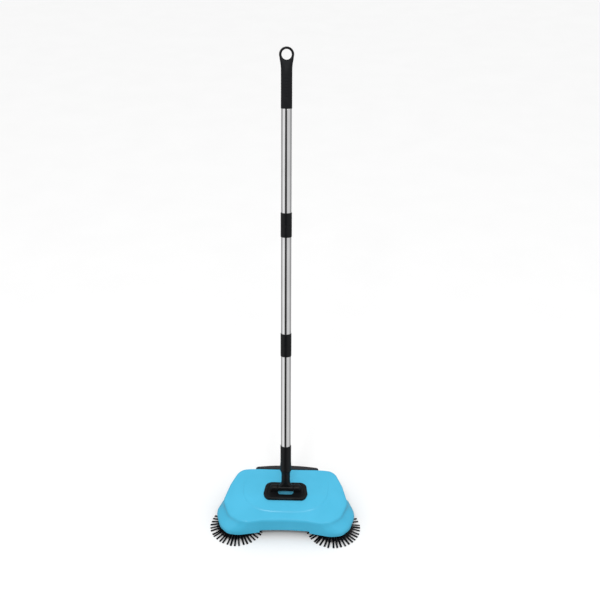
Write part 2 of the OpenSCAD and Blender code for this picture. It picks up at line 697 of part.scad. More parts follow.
module right_brush_hub() { side(false) brush_hub(); }
module brush_screw() {
    color([0.62, 0.63, 0.65]) head() translate([brush_x, brush_y, hub_low_z + 0.1]) {
        cylinder(r = 2.8, h = 1.5);
        cylinder(r = 1.2, h = 9);
    }
}
module left_brush_screw() { side(true) brush_screw(); }
module right_brush_screw() { side(false) brush_screw(); }
// Splayed bristles as one closed cone that reaches the floor at the tips
module brush_bristles() {
    color([0.10, 0.10, 0.11]) at_brush() rotate_extrude() polygon([
        [hub_r, hub_low_z + 0.5], [brush_r - 6, 0], [brush_r, 0], [brush_r, 1.4], [hub_r, hub_top_z - 1]]);
}
module left_brush_bristles() { side(true) brush_bristles(); }
module right_brush_bristles() { side(false) brush_bristles(); }

// ---- main roller ----
module roller_bushes() {
    color([0.78, 0.62, 0.32]) at_roller() both_sides() difference() {
        rod_x(roller_bush_r, roller_half + 4.5, roller_half + 8.5);
        rod_x(roller_axle_r + run, roller_half, roller_half + 20);
    }
}
module roller_core() {
    color([0.18, 0.19, 0.20]) at_roller() {
        rod_x(roller_core_r, -roller_half - 2, roller_half + 2);
        rod_x(roller_axle_r, -wheel_x, roller_half + 9);
    }
}
module roller_bristles() {
    color([0.12, 0.12, 0.13]) at_roller() difference() {
        rod_x(roller_r, -roller_half, roller_half);
        rod_x(roller_core_r, -roller_half - 1, roller_half + 1);
    }
}
module roller_pinion() {
    color([0.90, 0.90, 0.86]) at_roller() translate([-wheel_x + spur_w - 1, 0, 0]) rotate([0, -90, 0])
        difference() {
            spur(roller_teeth, spur_w - 1.5, spur_phase + 180 + 180 / roller_teeth);
            translate([0, 0, -1]) cylinder(r = roller_axle_r, h = 20);
        }
}

// ---- rear rollers ----
module rear_roller_pins() {
    color([0.72, 0.73, 0.75]) head() both_sides() translate([0, rear_roller_y, rear_roller_r])
        rod_x(1.5, rear_roller_x - 9, rear_roller_x + 9);
}
module rear_roller() {
    color([0.14, 0.15, 0.16]) head() translate([rear_roller_x, rear_roller_y, rear_roller_r]) difference() {
        rod_x(rear_roller_r, -6, 6);
        rod_x(1.5 + run, -10, 10);
    }
}
module left_rear_roller() { side(true) rear_roller(); }
module right_rear_roller() { side(false) rear_roller(); }

top_cover();
base_plate();
base_screws();
hinge_bezel();
bezel_screws();
hinge_pin();
handle_neck();
neck_screw();
socket();
tube_lower();
coupling_lower_nut();
coupling_lower_stud();
tube_middle();
coupling_upper_nut();
coupling_upper_stud();
tube_upper();
grip();
dust_box();
dust_box_back();
dust_box_seal();
left_wheel_axle();
right_wheel_axle();
left_wheel();
right_wheel();
left_tyre();
right_tyre();
shaft_bushes();
left_side_shaft();
right_side_shaft();
left_wheel_pinion();
right_wheel_pinion();
left_brush_pinion();
right_brush_pinion();
left_brush_gear();
right_brush_gear();
spindle_bushes();
left_brush_hub();
right_brush_hub();
left_brush_bristles();
right_brush_bristles();
left_brush_screw();
right_brush_screw();
roller_bushes();
roller_core();
roller_bristles();
roller_pinion();
rear_roller_pins();
left_rear_roller();
right_rear_roller();
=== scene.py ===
"""The looks of a hand-pushed carpet sweeper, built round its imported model.

+Z is up and -Y is the front, where the side brushes are. Sizes and places are in millimetres until
head() or on_handle() turns them into metres in the model's own frame.
"""

import json
import math
import random

import bmesh
import bpy
from mathutils import Matrix, Vector

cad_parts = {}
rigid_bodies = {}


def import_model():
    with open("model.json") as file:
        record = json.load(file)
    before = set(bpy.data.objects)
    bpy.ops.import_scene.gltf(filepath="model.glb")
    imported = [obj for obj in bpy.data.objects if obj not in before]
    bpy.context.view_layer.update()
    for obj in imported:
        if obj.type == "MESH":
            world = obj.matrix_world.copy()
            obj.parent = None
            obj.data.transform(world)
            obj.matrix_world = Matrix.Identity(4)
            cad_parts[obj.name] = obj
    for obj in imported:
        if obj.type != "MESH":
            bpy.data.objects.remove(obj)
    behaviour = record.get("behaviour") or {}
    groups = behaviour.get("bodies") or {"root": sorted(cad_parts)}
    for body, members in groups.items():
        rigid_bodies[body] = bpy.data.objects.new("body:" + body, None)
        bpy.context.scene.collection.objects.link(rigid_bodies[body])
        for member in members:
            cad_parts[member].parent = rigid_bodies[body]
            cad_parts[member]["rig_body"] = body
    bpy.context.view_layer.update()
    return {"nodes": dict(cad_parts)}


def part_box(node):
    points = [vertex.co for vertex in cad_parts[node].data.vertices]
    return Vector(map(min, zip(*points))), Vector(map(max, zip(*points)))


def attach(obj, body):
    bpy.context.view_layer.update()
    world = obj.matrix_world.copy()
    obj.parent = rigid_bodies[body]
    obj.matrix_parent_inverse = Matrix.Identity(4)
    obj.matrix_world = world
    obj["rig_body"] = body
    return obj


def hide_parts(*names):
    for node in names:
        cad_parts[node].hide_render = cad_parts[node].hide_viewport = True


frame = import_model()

MM = 0.001
TURN = 2 * math.pi


# ---- places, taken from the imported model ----
def middle(node):
    low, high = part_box(node)
    return (low + high) / 2


def half_size(node, axis):
    """Half of a node's size along an axis, in millimetres."""
    low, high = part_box(node)
    return (high[axis] - low[axis]) / 2 / MM


HINGE = middle("hinge_pin")
HINGE_BEHIND_FOOT = 1.5
HEAD_Y = HINGE.y - HINGE_BEHIND_FOOT * MM
ACROSS = Vector((1, 0, 0))
UP_HANDLE = (middle("tube_upper") - HINGE).normalized()
BEHIND_HANDLE = UP_HANDLE.cross(ACROSS)


def head(x, y, z):
    """A point of the head: y is behind the handle's foot, and z is above the floor."""
    return Vector((x * MM, HEAD_Y + y * MM, z * MM))


def on_handle(x, y, along):
    """A point of the handle: along it from the hinge pin, x across and y behind its axis."""
    return HINGE + (ACROSS * x + BEHIND_HANDLE * y + UP_HANDLE * along) * MM


def stations(node):
    """Where a node of the handle starts and ends, along it from the hinge pin."""
    reach = [(v.co - HINGE).dot(UP_HANDLE) / MM for v in frame["nodes"][node].data.vertices]
    return min(reach), max(reach)


def body_of(node):
    return frame["nodes"][node]["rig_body"]


# ---- mesh building ----
def fillet(corners, closed=True, steps=7, least_cut=0.0):
    """An outline from (x, y, radius) corners, each rounded by an exact arc."""
    outline = []
    count = len(corners)
    for i, (x, y, radius) in enumerate(corners):
        corner = Vector((x, y))
        if radius == 0 or (not closed and i in (0, count - 1)):
            outline.append(corner)
            continue
        before = Vector(corners[i - 1][:2]) - corner
        after = Vector(corners[(i + 1) % count][:2]) - corner
        half = before.angle(after) / 2
        cut = max(radius / math.tan(half), least_cut)
        start = corner + before.normalized() * cut
        end = corner + after.normalized() * cut
        for k in range(steps + 1):
            t = k / steps
            a, b, c = (1 - t) ** 2, 2 * math.sin(half) * t * (1 - t), t * t
            outline.append((start * a + corner * b + end * c) / (a + b + c))
    return outline


def subdivided(outline, longest):
    """The closed outline with points added where two are further apart than longest."""
    dense = []
    for i, start in enumerate(outline):
        end = outline[(i + 1) % len(outline)]
        parts = max(1, math.ceil((end - start).length / longest))
        dense += [start.lerp(end, k / parts) for k in range(parts)]
    return dense


def mirrored(half):
    """Both halves of a plan, from the corners of its right half going back."""
    return half + [(-x, y, radius) for x, y, radius in reversed(half) if x != 0]


def smooth(low, high, value):
    t = min(1.0, max(0.0, (value - low) / (high - low)))
    return t * t * (3 - 2 * t)


def swell(value, power):
    """A sine or cosine pushed out for a superellipse; a power of 2 leaves it as it is."""
    return math.copysign(abs(value) ** (2 / power), value)


def least(a, b, blend):
    """The smaller of two heights, with the corner between them rounded over blend."""
    h = min(1.0, max(0.0, 0.5 + 0.5 * (b - a) / blend))
    return b + (a - b) * h - blend * h * (1 - h)


def added(name, data):
    """A new object in the scene."""
    made = bpy.data.objects.new(name, data)
    bpy.context.scene.collection.objects.link(made)
    return made


def shade(mesh, sharp=35):
    """Smooth shading, except across edges that turn by more than sharp degrees."""
    mesh.polygons.foreach_set("use_smooth", [True] * len(mesh.polygons))
    mesh.set_sharp_from_angle(angle=math.radians(sharp))


class Shape:
    """The points and faces of one piece, gathered surface by surface."""

    def __init__(self):
        self.points = []
        self.faces = []

    def loft(self, rings, first_cap=False, last_cap=False, around=False):
        """Faces between rings of equal length; around also joins the last ring to the first."""
        start, count, rows = len(self.points), len(rings[0]), len(rings)
        for ring in rings:
            self.points += [tuple(p) for p in ring]
        for i in range(rows if around else rows - 1):
            a, b = start + i * count, start + (i + 1) % rows * count
            for j in range(count):
                k = (j + 1) % count
                self.faces.append((a + j, a + k, b + k, b + j))
        if first_cap:
            self.faces.append(tuple(range(start + count - 1, start - 1, -1)))
        if last_cap:
            end = start + (rows - 1) * count
            self.faces.append(tuple(range(end, end + count)))

    def revolve(self, profile, place, steps=96, around=False):
        """A profile of (radius, along) turned about an axis; place(a, b, along) puts a point."""
        turns = [TURN * i / steps for i in range(steps)]
        rings = [[place(r * math.cos(t), r * math.sin(t), s) for t in turns] for r, s in profile]
        self.loft(rings, first_cap=not around, last_cap=not around, around=around)

    def make(self, name, sharp=35):
        mesh = bpy.data.meshes.new(name)
        mesh.from_pydata(self.points, [], self.faces)
        solid = bmesh.new()
        solid.from_mesh(mesh)
        bmesh.ops.recalc_face_normals(solid, faces=solid.faces)
        solid.to_mesh(mesh)
        solid.free()
        shade(mesh, sharp)
        return added(name, mesh)


def applied(piece, sharp=35):
    """Makes the piece's modifiers part of its mesh."""
    graph = bpy.context.evaluated_depsgraph_get()
    mesh = bpy.data.meshes.new_from_object(piece.evaluated_get(graph))
    piece.modifiers.clear()
    piece.data = mesh
    shade(mesh, sharp)


def cut(piece, cutter):
    """Takes the cutter's volume out of the piece, and removes the cutter."""
    boolean = piece.modifiers.new("cut", "BOOLEAN")
    boolean.operation = "DIFFERENCE"
    boolean.solver = "EXACT"
    boolean.object = cutter
    bpy.context.view_layer.update()
    applied(piece)
    bpy.data.objects.remove(cutter)


def join(piece, other):
    """Puts the other piece's mesh into the first one's, and removes the other."""
    both = bmesh.new()
    both.from_mesh(piece.data)
    both.from_mesh(other.data)
    both.to_mesh(piece.data)
    both.free()
    bpy.data.objects.remove(other)
    shade(piece.data)


def paint(piece, material):
    """Gives a piece or a node its only material, and the slot for it."""
    piece.data.materials.clear()
    piece.data.materials.append(material)


def dress(piece, material, slot, body, *replaced):
    """Gives a new piece its material and body, and hides the nodes it stands for; slot is not used."""
    paint(piece, material)
    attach(piece, body)
    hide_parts(*replaced)


# ---- materials ----
NOISE_RANGE = (0.3, 0.7)


def add_node(tree, kind, **values):
    """A new shader node in a tree, with some of its settings."""
    made = tree.nodes.new("ShaderNode" + kind)
    for key, value in values.items():
        setattr(made, key, value)
    return made


def map_range(tree, value, start, end, low, high):
    """Maps a value from start to end onto low to high."""
    made = add_node(tree, "MapRange")
    for key, number in (("From Min", start), ("From Max", end), ("To Min", low), ("To Max", high)):
        made.inputs[key].default_value = number
    tree.links.new(value, made.inputs["Value"])
    return made.outputs["Result"]


class Surface:
    """A material whose detail comes from noise in the piece's own coordinates."""

    def __init__(self, name, roughness, metallic=0.0):
        self.material = bpy.data.materials.new(name)
        self.material.use_nodes = True
        self.tree = self.material.node_tree
        self.shader = self.tree.nodes["Principled BSDF"]
        self.shader.inputs["Roughness"].default_value = roughness
        self.shader.inputs["Metallic"].default_value = metallic
        self.place = self.tree.nodes.new("ShaderNodeTexCoord").outputs["Object"]

    def node(self, kind, **values):
        return add_node(self.tree, kind, **values)

    def link(self, output, target):
        self.tree.links.new(output, target)

    def noise(self, scale, detail=3.0, stretch=(1, 1, 1)):
        """Noise with about scale features a metre, stretched by a factor along each axis."""
        mapping = self.node("Mapping")
        mapping.inputs["Scale"].default_value = stretch
        self.link(self.place, mapping.inputs["Vector"])
        noise = self.node("TexNoise")
        noise.inputs["Scale"].default_value = scale
        noise.inputs["Detail"].default_value = detail
        self.link(mapping.outputs["Vector"], noise.inputs["Vector"])
        return noise.outputs["Fac"]

    def cells(self, scale):
        """Rounded cells, about scale of them a metre."""
        voronoi = self.node("TexVoronoi", feature="SMOOTH_F1")
        voronoi.inputs["Scale"].default_value = scale
        self.link(self.place, voronoi.inputs["Vector"])
        return voronoi.outputs["Distance"]

    def colour(self, value, dark, light):
        """Base colour between dark and light, by a noise's value."""
        ramp = self.node("ValToRGB")
        for element, position, shade_at in zip(ramp.color_ramp.elements, NOISE_RANGE, (dark, light)):
            element.position = position
            element.color = (*shade_at, 1)
        self.link(value, ramp.inputs["Fac"])
        self.link(ramp.outputs["Color"], self.shader.inputs["Base Color"])

    def roughness(self, value, low, high):
        """Roughness between low and high, by a noise's value."""
        self.link(map_range(self.tree, value, *NOISE_RANGE, low, high), self.shader.inputs["Roughness"])

    def bump(self, *layers):
        """Bump from (height, depth in metres) layers, one on top of another."""
        normal = None
        for height, depth in layers:
            bump = self.node("Bump")
            bump.inputs["Strength"].default_value = 1.0
            bump.inputs["Distance"].default_value = depth
            self.link(height, bump.inputs["Height"])
            if normal is not None:
                self.link(normal, bump.inputs["Normal"])
            normal = bump.outputs["Normal"]
        self.link(normal, self.shader.inputs["Normal"])


def cover_plastic():
    """Glossy light blue ABS with faint flow marks, orange peel and hairline scuffs."""
    s = Surface("cover_blue", 0.3)
    s.colour(s.noise(14, 2), (0.066, 0.485, 0.735), (0.078, 0.520, 0.785))
    s.roughness(s.noise(90, 5), 0.30, 0.38)
    s.bump((s.noise(420, 2), 0.000012), (s.noise(2600, 3), 0.000004))
    s.shader.inputs["Specular IOR Level"].default_value = 0.2
    s.shader.inputs["Coat Weight"].default_value = 0.2
    s.shader.inputs["Coat Roughness"].default_value = 0.13
    return s.material


def black_plastic(name, shade, low, high, grain, shine):
    """Black moulded plastic with a fine spark-eroded grain."""
    s = Surface(name, (low + high) / 2)
    s.shader.inputs["Specular IOR Level"].default_value = shine
    r, g, b = shade
    s.colour(s.noise(160, 4), (r * 0.82, g * 0.82, b * 0.82), (r * 1.18, g * 1.18, b * 1.18))
    s.roughness(s.noise(700, 4), low, high)
    s.bump((s.cells(grain), 0.00006), (s.noise(grain * 1.7, 2), 0.00003))
    return s.material


def polished_steel():
    """Bright drawn tube: fine lines along it, faint smears and no colour of its own."""
    s = Surface("tube_steel", 0.14, 1.0)
    lines = s.noise(900, 3, (1, 1, 0.012))
    s.colour(s.noise(30, 3), (0.88, 0.88, 0.89), (0.94, 0.94, 0.95))
    s.roughness(s.noise(120, 5, (1, 1, 0.15)), 0.06, 0.13)
    s.bump((lines, 0.0000025))
    return s.material


def small_steel():
    """Zinc-plated screws, pins and axles."""
    s = Surface("zinc_steel", 0.35, 1.0)
    s.colour(s.noise(260, 4), (0.50, 0.50, 0.51), (0.66, 0.66, 0.67))
    s.roughness(s.noise(900, 4), 0.28, 0.46)
    s.bump((s.noise(2200, 3), 0.00001))
    return s.material


def nylon():
    """Milky gear nylon with a satin surface."""
    s = Surface("gear_nylon", 0.45)
    s.colour(s.noise(120, 4), (0.70, 0.69, 0.62), (0.80, 0.79, 0.73))
    s.roughness(s.noise(500, 4), 0.38, 0.55)
    s.bump((s.noise(1500, 3), 0.00002))
    s.shader.inputs["Subsurface Weight"].default_value = 0.1
    s.shader.inputs["Subsurface Radius"].default_value = (0.002, 0.002, 0.0015)
    return s.material


def brass():
    """Sintered bronze bushes, oily and slightly porous."""
    s = Surface("bush_bronze", 0.4, 1.0)
    s.colour(s.noise(500, 4), (0.42, 0.27, 0.10), (0.60, 0.42, 0.18))
    s.roughness(s.noise(900, 4), 0.32, 0.5)
    s.bump((s.cells(2500), 0.00003))
    return s.material


def rubber(name, shade):
    """Matt rubber with a dusty bloom."""
    s = Surface(name, 0.75)
    s.colour(s.noise(200, 5), (shade, shade, shade * 1.05), (shade * 1.7, shade * 1.7, shade * 1.75))
    s.roughness(s.noise(600, 4), 0.66, 0.88)
    s.bump((s.noise(1800, 4), 0.00005))
    return s.material


def bristle():
    """Black nylon filament with a slight sheen and paler, drawn streaks."""
    s = Surface("bristle_nylon", 0.4)
    s.shader.inputs["Specular IOR Level"].default_value = 0.15
    s.colour(s.noise(700, 2), (0.0030, 0.0030, 0.0045), (0.0085, 0.0090, 0.0130))
    s.roughness(s.noise(900, 2), 0.3, 0.5)
    s.bump((s.noise(3000, 2), 0.00001))
    return s.material


COVER_BLUE = cover_plastic()
BLACK = black_plastic("black_satin", (0.0050, 0.0055, 0.0065), 0.30, 0.44, 2600, 0.24)
GRIP_BLACK = black_plastic("grip_matt", (0.0062, 0.0067, 0.0090), 0.46, 0.62, 1900, 0.24)
TRAY_BLACK = black_plastic("tray_grey", (0.0210, 0.0195, 0.0240), 0.30, 0.48, 2300, 0.45)
WHEEL_BLACK = black_plastic("wheel_grey", (0.0240, 0.0250, 0.0280), 0.42, 0.60, 2100, 0.40)
TUBE_STEEL = polished_steel()
ZINC = small_steel()
NYLON = nylon()
BRONZE = brass()
TYRE_RUBBER = rubber("tyre_rubber", 0.014)
SEAL_RUBBER = rubber("seal_rubber", 0.010)
BRISTLE = bristle()


# ---- cover ----
COVER_BACK = 70.0
COVER_WALL = 2.5
MOUTH_HALF = 75.0
MOUTH_Z = 66.4
LOBE_X = 57.0
# Plans of the cover's lower edge, which spreads over the brushes, and of the crease round its top
SKIRT_PLAN = mirrored([
    (0, -71, 600), (50, -73.2, 20), (56.6, -74.33, 0), (LOBE_X, -74.4, 0), (72, -77.4, 20),
    (106, -84.3, 60), (131, -79.8, 26), (149, -60.3, 34), (162, -19.3, 45), (146.5, 21.7, 10),
    (132, 31.5, 12), (113, COVER_BACK, 22), (MOUTH_HALF, COVER_BACK, 0)])
CREASE_PLAN = mirrored([
    (0, -70, 600), (50, -71.8, 8), (56.6, -72.79, 0), (LOBE_X, -72.85, 0), (66, -74.2, 20),
    (85, -76.8, 40), (104, -74, 26), (128, -58.5, 34), (144, -20, 28), (136.4, 9, 14),
    (131.5, 28, 60), (113, COVER_BACK, 22), (MOUTH_HALF, COVER_BACK, 0)])
SKIRT_Z = 20.0
# The lobes end lower than the skirt, which they rise to between these places at their backs
LOBE_EDGE_Z = 14.0
LOBE_BACK = (23.0, 29.0)
# Between these heights the wall goes over from the lower edge's plan to the crease's
FLARE_Z = (20.0, 46.0)
CREASE_ROUND, CREASE_STEPS = 4.5, 8
# The wall's rows of points: evenly spaced ones, and shares of its height for two near its lower edge
WALL_ROWS = 18
LOW_ROWS = (0.012, 0.04)
PLAN_SPACING = 4.0

# The slopes that bound the cover's top: a place on each, its height there, and how steep it is
TOP_Z = 75.0
CROWN_Z = TOP_Z + 1.5
FRONT_Y, FRONT_Z, FRONT_SLOPE = -64.0, TOP_Z - 21, 0.475
LEVEL_Y, LEVEL_Z, LEVEL_SLOPE = -24.0, TOP_Z - 2, 0.0357
SIDE_X, SIDE_SLOPE = 98.0, 0.326
CORNER_X, CORNER_Y, CORNER_Z, CORNER_SLOPE = 126.0, -58.0, 52.0, 0.45
# Which way the corners rise: towards the middle, and to the back
CORNER_WAY = (0.62, 0.78)
FRONT_BLEND, SIDE_BLEND, CROWN_BLEND, CORNER_BLEND = 7.6, 13.0, 3.0, 6.0

# The raised middle of the top: a superellipse with a low step round it that fades towards the back
PLATEAU_MIDDLE_Y = 20.0
PLATEAU_HALF = (98.0, 72.0)
PLATEAU_POWER = 3.2
PLATEAU_STEP = 1.2
# The step's width at the sides and at the front, and from where to where it widens
PLATEAU_EDGE = (2.4, 6.0)
PLATEAU_FRONT = (-25.0, -48.0)
PLATEAU_FADE = (0.0, 48.0)
PLATEAU_INSIDE_CREASE = 9.0

POCKET_MIDDLE = Vector((0, -1.5))
POCKET_HALF = (36.0, 17.5)
POCKET_POWER = 9
POCKET_FLOOR_Z = 66.0
# The pocket's wall and floor: how far in from its edge, and how high
POCKET_RINGS = [(0.6, POCKET_FLOOR_Z + 1.0), (1.4, POCKET_FLOOR_Z), (14, POCKET_FLOOR_Z)]
POCKET_EDGE = 0.4


def squared(x, y, half_x, half_y, power):
    """Below 1 inside a squared-off ellipse, and above 1 outside it."""
    return (abs(x / half_x) ** power + abs(y / half_y) ** power) ** (1 / power)


def cover_height(x, y):
    """Height of the cover's top, without its rounded edge."""
    front = FRONT_Z + (y - FRONT_Y) * FRONT_SLOPE
    level = LEVEL_Z + (y - LEVEL_Y) * LEVEL_SLOPE
    sides = CROWN_Z - (abs(x) - SIDE_X) * SIDE_SLOPE
    across, back = CORNER_WAY
    corners = CORNER_Z + CORNER_SLOPE * ((CORNER_X - abs(x)) * across + (y - CORNER_Y) * back)
    height = least(least(front, level, FRONT_BLEND), least(CROWN_Z, sides, SIDE_BLEND), CROWN_BLEND)
    height = least(height, corners, CORNER_BLEND)
    away = squared(x, y - PLATEAU_MIDDLE_Y, *PLATEAU_HALF, PLATEAU_POWER)
    side_edge, front_edge = PLATEAU_EDGE
    edge = side_edge + (front_edge - side_edge) * smooth(*PLATEAU_FRONT, y)
    outside = smooth(1 - edge * 0.5 / PLATEAU_HALF[0], 1 + edge * 0.7 / PLATEAU_HALF[0], away)
    return height - PLATEAU_STEP * outside * (1 - smooth(*PLATEAU_FADE, y))


def ray(outline, origin, direction):
    """How far the outline is from origin in a direction."""
    best = 0.0
    for i, a in enumerate(outline):
        b = outline[(i + 1) % len(outline)]
        edge = b - a
        across = direction.x * edge.y - direction.y * edge.x
        if abs(across) < 1e-12:
            continue
        to_a = a - origin
        distance = (to_a.x * edge.y - to_a.y * edge.x) / across
        share = (to_a.x * direction.y - to_a.y * direction.x) / across
        if distance > 0 and -1e-9 <= share <= 1 + 1e-9:
            best = max(best, distance)
    return best


def both_outlines(low, high, longest):
    """Both plans as outlines with the same number of points, where matching points share an index."""
    low, high = (fillet(plan, least_cut=2.5) for plan in (low, high))
    dense_low, dense_high = [], []
    for i, start in enumerate(low):
        k = (i + 1) % len(low)
        parts = max(1, math.ceil(max((low[k] - start).length, (high[k] - high[i]).length) / longest))
        dense_low += [start.lerp(low[k], t / parts) for t in range(parts)]
        dense_high += [high[i].lerp(high[k], t / parts) for t in range(parts)]
    return dense_low, dense_high


def cover():
    """The shell as rings: up the wall, round the crease, over the top and down into the pocket."""
    skirt, crease = both_outlines(SKIRT_PLAN, CREASE_PLAN, PLAN_SPACING)
    directions = [(p - POCKET_MIDDLE).normalized() for p in crease]
    edge_reach = [(p - POCKET_MIDDLE).length for p in crease]
    wall_top = [cover_height(p.x, p.y) - CREASE_ROUND for p in crease]
    lower_edge = [
        LOBE_EDGE_Z + (SKIRT_Z - LOBE_EDGE_Z) * (smooth(*LOBE_BACK, p.y) if abs(p.x) > LOBE_X - 0.1 else 1)
        for p in skirt]

    # One row of the wall runs along the top of the dust box's mouth
    back_top = cover_height(0, COVER_BACK) - CREASE_ROUND
    mouth_share = (MOUTH_Z - SKIRT_Z) / (back_top - SKIRT_Z)
    even_rows = [k / WALL_ROWS for k in range(2, WALL_ROWS + 1)]
    shares = sorted([0, *LOW_ROWS, mouth_share, *(r for r in even_rows if abs(r - mouth_share) > 0.03)])
    rings = []
    for share in shares:
        ring = []
        for low, high, bottom, top in zip(skirt, crease, lower_edge, wall_top):
            z = bottom + share * (top - bottom)
            p = low.lerp(high, smooth(*FLARE_Z, z))
            ring.append(head(p.x, p.y, z))
        rings.append(ring)
    mouth_row = shares.index(mouth_share)

    def top_ring(reaches, drop=0.0, z=None):
        """A ring round the pocket's middle, drop below the cover's top or at height z."""
        ring = []
        for reach, direction in zip(reaches, directions):
            p = POCKET_MIDDLE + direction * reach
            ring.append(head(p.x, p.y, cover_height(p.x, p.y) - drop if z is None else z))
        return ring

    for k in range(1, CREASE_STEPS + 1):
        turn = math.pi / 2 * k / CREASE_STEPS
        inward = CREASE_ROUND * (1 - math.cos(turn))
        rings.append(top_ring([r - inward for r in edge_reach], CREASE_ROUND * (1 - math.sin(turn))))

    pocket_reach = [1 / squared(d.x, d.y, *POCKET_HALF, POCKET_POWER) for d in directions]
    oval = [
        Vector((PLATEAU_HALF[0] * swell(math.sin(a), PLATEAU_POWER),
                PLATEAU_MIDDLE_Y - PLATEAU_HALF[1] * swell(math.cos(a), PLATEAU_POWER)))
        for a in (TURN * k / 240 for k in range(240))]
    plateau_reach = [
        min(ray(oval, POCKET_MIDDLE, d), edge - CREASE_ROUND - PLATEAU_INSIDE_CREASE)
        for d, edge in zip(directions, edge_reach)]
    outer = [r - CREASE_ROUND for r in edge_reach]
    step_out = [r + max(PLATEAU_EDGE) * 0.8 for r in plateau_reach]
    step_in = [r - max(PLATEAU_EDGE) * 0.6 for r in plateau_reach]
    for start, end, count in ((outer, step_out, 7), (step_out, step_in, 18), (step_in, pocket_reach, 12)):
        for k in range(1, count + 1):
            rings.append(top_ring([a + (b - a) * k / count for a, b in zip(start, end)]))
    rings.append(top_ring([r - POCKET_EDGE for r in pocket_reach], drop=POCKET_EDGE))
    for inward, z in POCKET_RINGS:
        rings.append(top_ring([r - inward for r in pocket_reach], z=z))

    shape = Shape()
    shape.loft(rings, last_cap=True)
    count = len(skirt)
    in_mouth = [p.y > COVER_BACK - 0.01 and abs(p.x) < MOUTH_HALF + 0.01 for p in skirt]
    mouth = {
        row * count + j for row in range(mouth_row) for j in range(count)
        if in_mouth[j] and in_mouth[(j + 1) % count]}
    shape.faces = [f for i, f in enumerate(shape.faces) if i not in mouth]
    piece = shape.make("cover_shell")
    solid = piece.modifiers.new("wall", "SOLIDIFY")
    solid.thickness = COVER_WALL * MM
    solid.offset = -1
    applied(piece, 40)
    dress(piece, COVER_BLUE, "cover", "head", "top_cover")


# ---- hinge bezel ----
BEZEL_PLAN = mirrored([(45, -28, 13), (51, -12, 14), (46, 25.5, 16)])
SLOT_PLAN = mirrored([(14.8, -13, 3), (18, -6.8, 1), (18, 14, 2)])
BEZEL_MIDDLE = Vector((0, -2.0))
BEZEL_TOP = TOP_Z + 1.4
# How far in from the edge, and how far below the top: round the frame, and out from its slot
BEZEL_RIM = [(0.15, 1.3), (0.7, 0.75), (2.2, 0.3), (4.5, 0), (7.4, 0), (7.9, 0.2), (8.6, 1.2), (9.2, 1.4)]
SLOT_RIM = [(1.2, 1.4), (0.4, 1.6), (0, 2.2)]
EAR_INNER, EAR_OUTER, EAR_RADIUS, EAR_ROOT = 18.0, 34.5, 7.8, 9.5


def bezel():
    """The frame round the slot in the cover, and the two ears that hold the hinge pin."""
    outer = subdivided(fillet(BEZEL_PLAN), 2.0)
    slot = fillet(SLOT_PLAN)
    directions = [(p - BEZEL_MIDDLE).normalized() for p in outer]
    outer_reach = [(p - BEZEL_MIDDLE).length for p in outer]
    slot_reach = [ray(slot, BEZEL_MIDDLE, d) for d in directions]

    def ring(inset, z, from_slot=False):
        """A ring moved in from the outer edge, or out from the slot; z of 0 or less is on the cover."""
        points = []
        for far, near, d in zip(outer_reach, slot_reach, directions):
            p = BEZEL_MIDDLE + d * (near + inset if from_slot else far - inset)
            points.append(head(p.x, p.y, z if z > 0 else cover_height(p.x, p.y) + z))
        return points

    rings = [ring(inset, z) for inset, z in ((0.6, -0.8), (0, -0.5), (0, -0.01))]
    rings += [ring(inset, BEZEL_TOP - drop) for inset, drop in BEZEL_RIM]
    rings += [ring(outset, BEZEL_TOP - drop, True) for outset, drop in SLOT_RIM]
    rings.append(ring(0, POCKET_FLOOR_Z + 0.3, True))
    shape = Shape()
    shape.loft(rings)
    half_turn = [math.pi * k / 24 for k in range(25)]
    arch = [(-EAR_RADIUS * math.cos(a), EAR_RADIUS * math.sin(a)) for a in half_turn]
    profile = [(-EAR_RADIUS, -EAR_ROOT), *arch, (EAR_RADIUS, -EAR_ROOT)]
    inner_edge = [(EAR_INNER + far, inset) for far, inset in ((0, 1.0), (0.3, 0.35), (1.0, 0.0))]
    outer_edge = [(EAR_OUTER - far, inset) for far, inset in ((3.2, 0.0), (1.4, 0.5), (0.4, 1.5), (0, 2.8))]
    for way in (-1, 1):
        rings = []
        for x, inset in inner_edge + outer_edge:
            scale = (EAR_RADIUS - inset) / EAR_RADIUS
            rings.append([
                head(way * x, HINGE_BEHIND_FOOT + y * scale, HINGE.z / MM + (z * scale if z > 0 else z))
                for y, z in profile])
        shape.loft(rings, first_cap=True, last_cap=True)
    dress(shape.make("bezel_frame", 38), BLACK, "black_plastic", "head", "hinge_bezel")


# ---- handle ----
BARREL_RADIUS, BARREL_HALF, BARREL_BORE = 7.8, 17.6, 2.55
TUBE_RADIUS, TUBE_WALL = 11.0, 0.4
TUBE_INNER = TUBE_RADIUS - TUBE_WALL
PLUG_RADIUS = TUBE_INNER - 0.05
SLEEVE_RADIUS = 12.0
SOCKET_RADIUS, COLLAR_RADIUS = 12.2, 13.35
SCREW_RECESS = (2.7, 10.45)
GRIP_RADIUS = 11.7
GROOVE_PITCH, GROOVE_DEPTH = 6.0, 0.22
RING_OUTER, RING_HOLE, RING_THICK = 15.3, 10.5, 9.0
THREAD_PITCH, THREAD_CREST, THREAD_ROOT = 3.0, 6.4, 5.2
COUPLED_TUBES = {"lower": ("tube_lower", "tube_middle"), "upper": ("tube_middle", "tube_upper")}

